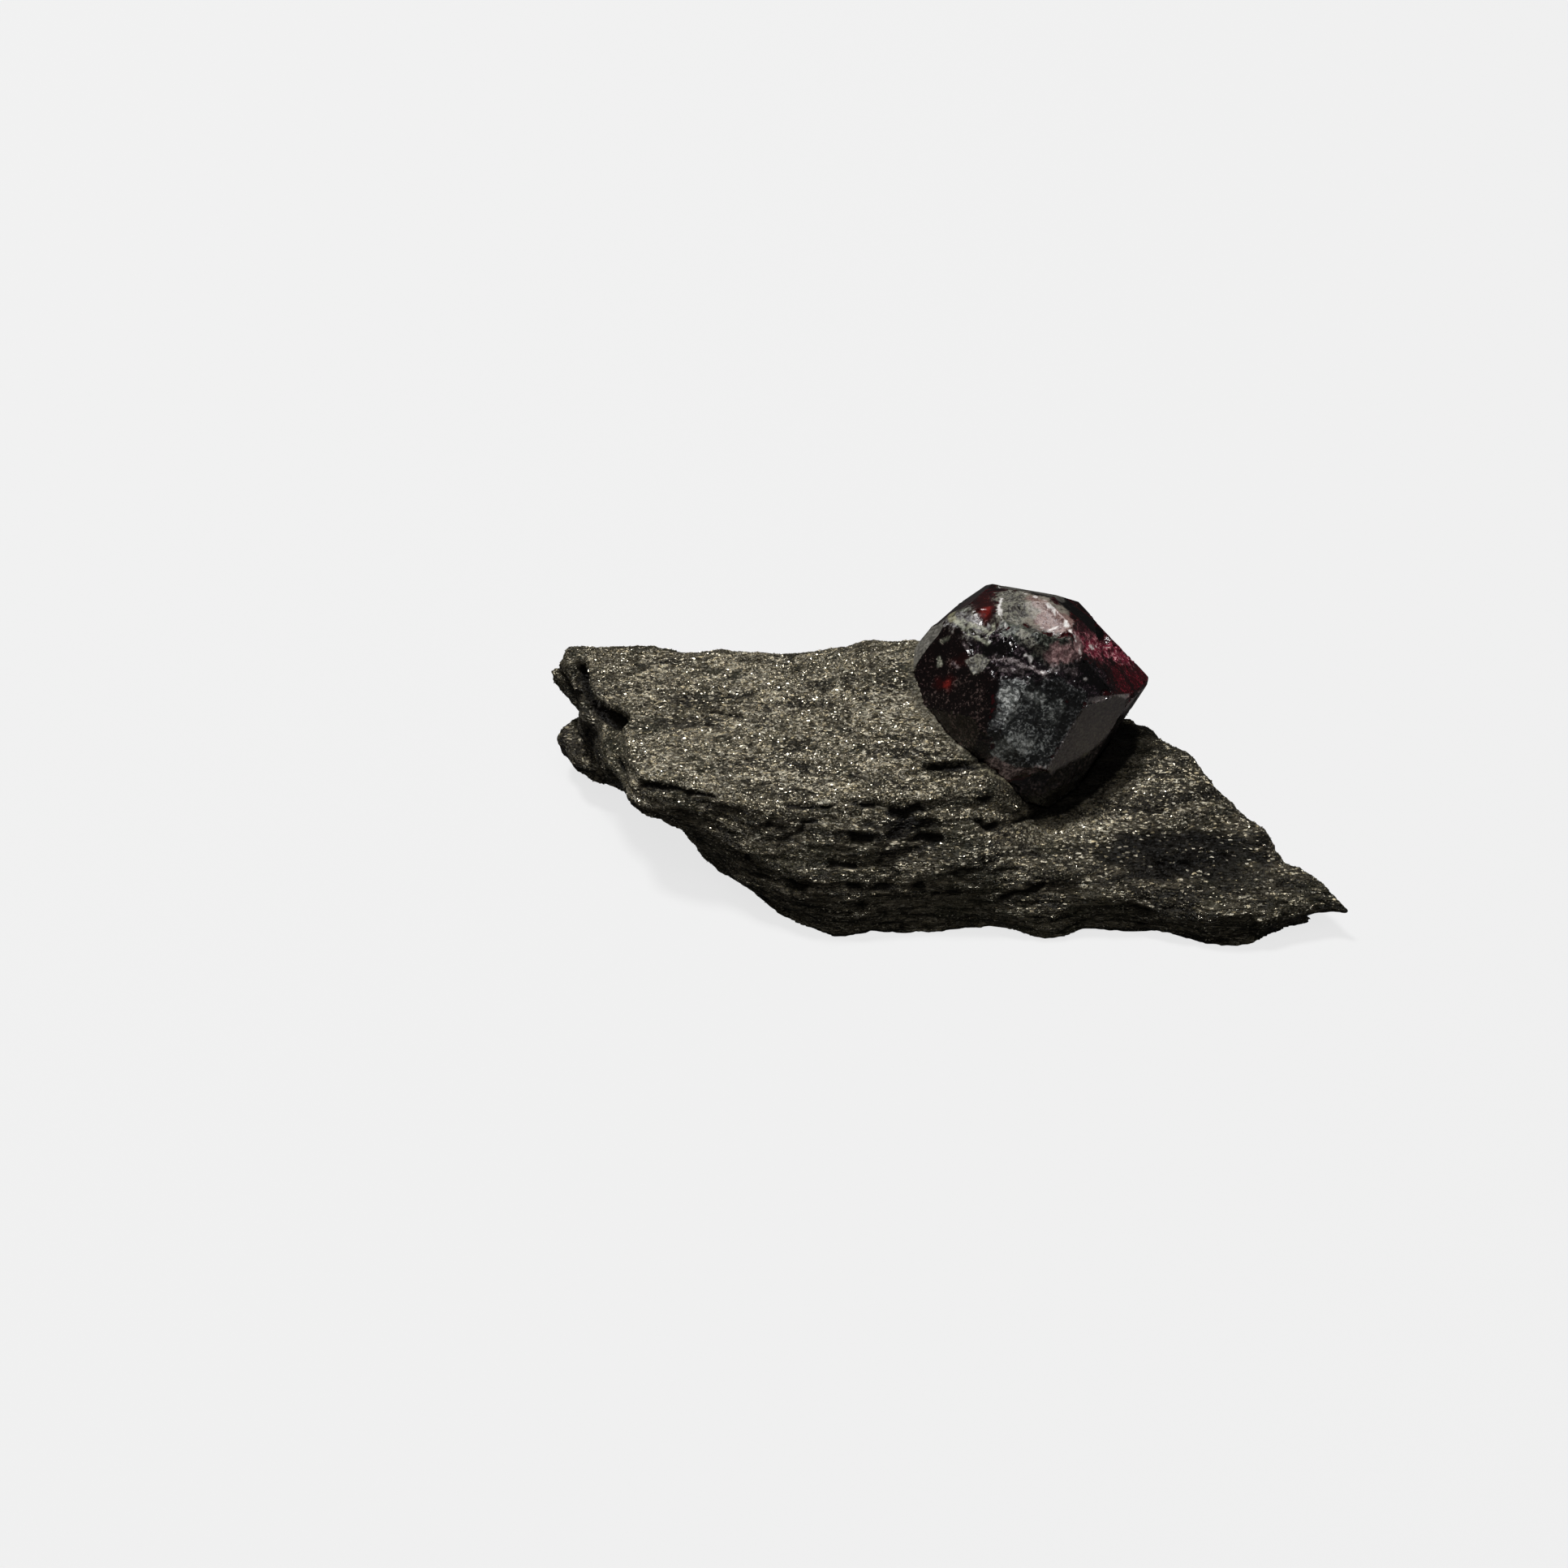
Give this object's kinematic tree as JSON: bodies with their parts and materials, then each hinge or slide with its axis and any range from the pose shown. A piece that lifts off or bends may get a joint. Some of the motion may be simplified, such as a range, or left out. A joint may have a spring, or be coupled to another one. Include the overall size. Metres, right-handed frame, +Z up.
{
  "type": "garnet in matrix",
  "caption": "Dark red garnet crystal, a bevelled dodecahedron, seated in the back edge of a slab of glittering mica schist.",
  "frame": {"origin": "middle of the bounding box, on the flat base of the slab", "axes": "+X along the slab's length towards its pointed end, +Y towards the edge that holds the crystal, +Z up"},
  "size_m": [0.0688, 0.0296, 0.0219],
  "materials": {
    "schist": "satin",
    "garnet": "gloss"
  },
  "bodies": {
    "root": {"schist_matrix": "schist", "garnet_crystal": "garnet"}
  },
  "joints": []
}
